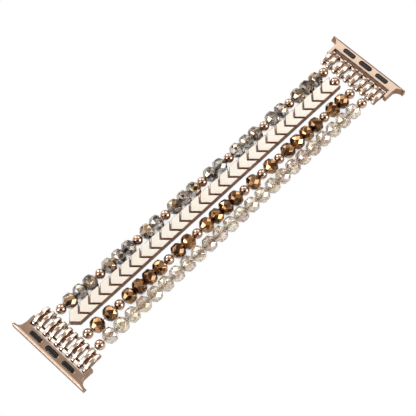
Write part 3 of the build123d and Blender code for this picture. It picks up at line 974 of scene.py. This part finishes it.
def makeInserts():
    # two rubber pads, and the lock tab with its foot
    top, proud = adapterCut["thickness"], insertCut["proud"]
    low, pads = top - insertCut["padDepth"], []
    for side in (-1, 1):
        pad = makeStadium(side * insertCut["pitch"], low, top + proud, -insertCut["padGap"])
        pads.append(softenEdges(pad, insertCut["crown"], 5, 40))
    flange, low, high = insertCut["lockFoot"]
    tab = makeStadium(0, low, top + proud, 0)
    softenEdges(tab, insertCut["crown"], 5, 40)
    footSize = (insertCut["width"] + 2 * flange, insertCut["length"] + 2 * flange, high - low)
    foot = addPrimitive("cube", footSize, size=1,
                        location=(insertCut["x"], 0, (low + high) / 2 - insertCut["footDrop"]))
    combine(tab, foot, "UNION")
    return joinPieces(pads, "rubberPads"), tab


def makeSpring():
    # an arched leaf spring: a strip's end, swung over from one foot of the arch to the other
    rise, thickness = springRise, insertCut["springThickness"]
    half, low = insertCut["springLength"] / 2, insertCut["lockFloor"]
    radius = (half ** 2 + rise ** 2) / (2 * rise)
    swing = math.acos((radius - rise) / (radius - thickness))
    middle = Vector((insertCut["x"], 0, low + rise - radius))
    spring = addPrimitive("plane", (insertCut["springWidth"], thickness, 1), size=1,
                          location=(middle.x, middle.y + radius - thickness / 2, middle.z))
    startEdit("FACE")
    bpy.ops.mesh.select_all(action="SELECT")
    bpy.ops.transform.rotate(value=swing - math.pi / 2, orient_axis="X", center_override=middle)
    bpy.ops.mesh.spin(steps=24, angle=-2 * swing, center=middle, axis=(1, 0, 0), dupli=False)
    endEdit()
    return spring


def adapterPieces():
    # the left pieces, and their mirror images at the right end; the spring gets its own mesh
    adapter = makeAdapter()
    pads, tab = makeInserts()
    spring = makeSpring()
    for side in ("left", "right"):
        flip = side == "right"
        for pattern, label, finish, body, slotName, node in (
            (adapter, "CaseAdapter", "adapter", "case_adapter", "adapter_rose_gold", "adapter"),
            (pads, "RubberPads", "rubber", "case_adapter", "black_rubber", "rubber_pads"),
            (tab, "LockTab", "tab", "lock", "black_plastic", "lock_tab"),
            (spring, "LockSpring", "spring", "case_adapter", "spring_steel", "lock_spring"),
        ):
            piece = joinPieces([copyPiece(pattern, (0, 0, 0), 0, flip)], side + label)
            shadeSmooth(piece, 35, True)
            dress(piece, finishes[finish], f"{side}_{body}", slotName, f"{side}_{node}")
            if pattern is spring:
                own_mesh(piece)
    for piece in (adapter, pads, tab, spring):
        bpy.data.objects.remove(piece)


adapterPieces()
print("adapters done")


# elastic cords

cordCut = {
    "diameter": 0.0006,
    "sides": 12,
    "bendReach": 0.0006,       # extra rings stand this far each side of its break
    "runEnd": 0.0635,          # X where the straight run meets the last piece, with the eyes
    "barX": 0.071925,
    "eyeHole": 0.0013,
    "fanOut": 0.002,           # length of the slanted stretch up to the eye
    "eyePlaces": (0.00915, 0.0034, -0.0034, -0.00915),
}


def cordRun(points):
    # a round cord through points, its rings square to the band
    radius = cordCut["diameter"] / 2
    cord = addPrimitive("circle", vertices=cordCut["sides"], radius=radius, fill_type="NGON",
                        location=points[0], rotation=(0, math.pi / 2, 0))
    startEdit("FACE")
    bpy.ops.mesh.select_all(action="SELECT")
    for before, after in zip(points, points[1:]):
        bpy.ops.mesh.extrude_region_move(TRANSFORM_OT_translate={"value": Vector(after) - Vector(before)})
    bpy.ops.mesh.select_all(action="SELECT")
    bpy.ops.mesh.normals_make_consistent(inside=False)
    endEdit()
    return cord


def bendingCords():
    # each cord is parted in the middle of every segment, and each part reaches across one joint
    for name, (beads, breaks) in strands.items():
        y = strandBeads[name]["y"]
        middles = [(a + b) / 2 for a, b in zip(breaks, breaks[1:])]
        cuts = [-cordCut["runEnd"], *middles, cordCut["runEnd"]]
        for k, bend in enumerate(breaks):
            near = [bend + cordCut["bendReach"] * share for share in (-1, -0.5, 0, 0.5, 1)]
            cord = cordRun([(x, y, beadHeight) for x in (cuts[k], *near, cuts[k + 1])])
            cord.name = cord.data.name = f"{name}Cord_{k + 1}"
            shadeSmooth(cord, 50)
            cord.data.materials.append(finishes["cord"])
            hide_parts(f"elastic_cords_{k + 1}", f"elastic_cords_{k + 2}")
            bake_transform(cord)


def cordEnds():
    # past its last bead each cord slants to its place on the bar and goes round it
    ring = (cordCut["eyeHole"] + cordCut["diameter"]) / 2
    near = cordCut["barX"] - ring
    for side, end, segment in ((-1, "left", 1), (1, "right", 7)):
        runs = []
        for name, eyeY in zip(strands, cordCut["eyePlaces"]):
            y = strandBeads[name]["y"]
            route = ((near, eyeY), (near - cordCut["fanOut"], y), (cordCut["runEnd"], y))
            run = cordRun([(side * x, where, beadHeight) for x, where in route])
            eye = addPrimitive("torus", major_radius=ring, minor_radius=cordCut["diameter"] / 2,
                               major_segments=28, minor_segments=cordCut["sides"], rotation=(math.pi / 2, 0, 0),
                               location=(side * cordCut["barX"], eyeY, beadHeight))
            combine(run, eye, "UNION")
            shadeSmooth(run, 50)
            runs.append(run)
        piece = joinPieces(runs, f"{end}CordEyes")
        dress(piece, finishes["cord"], f"segment_{segment}", "clear_elastic", f"elastic_cords_{segment}")


bendingCords()
cordEnds()
print("cords done")


# every CAD node that stays gets the finish of the first word in its name

nodeFinishes = {
    "cord_bar": "paintedShadeBars",
    "spacers": "links",
    "pin": "pins",
    "spring": "spring",
    "links": "links",
    "pads": "rubber",
    "tab": "rubber",
    "cords": "cord",
}
for name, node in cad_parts.items():
    if not node.hide_render:
        finish = next((nodeFinishes[word] for word in nodeFinishes if word in name), "adapter")
        node.data.materials.clear()
        node.data.materials.append(finishes[finish])
print("nodes dressed")
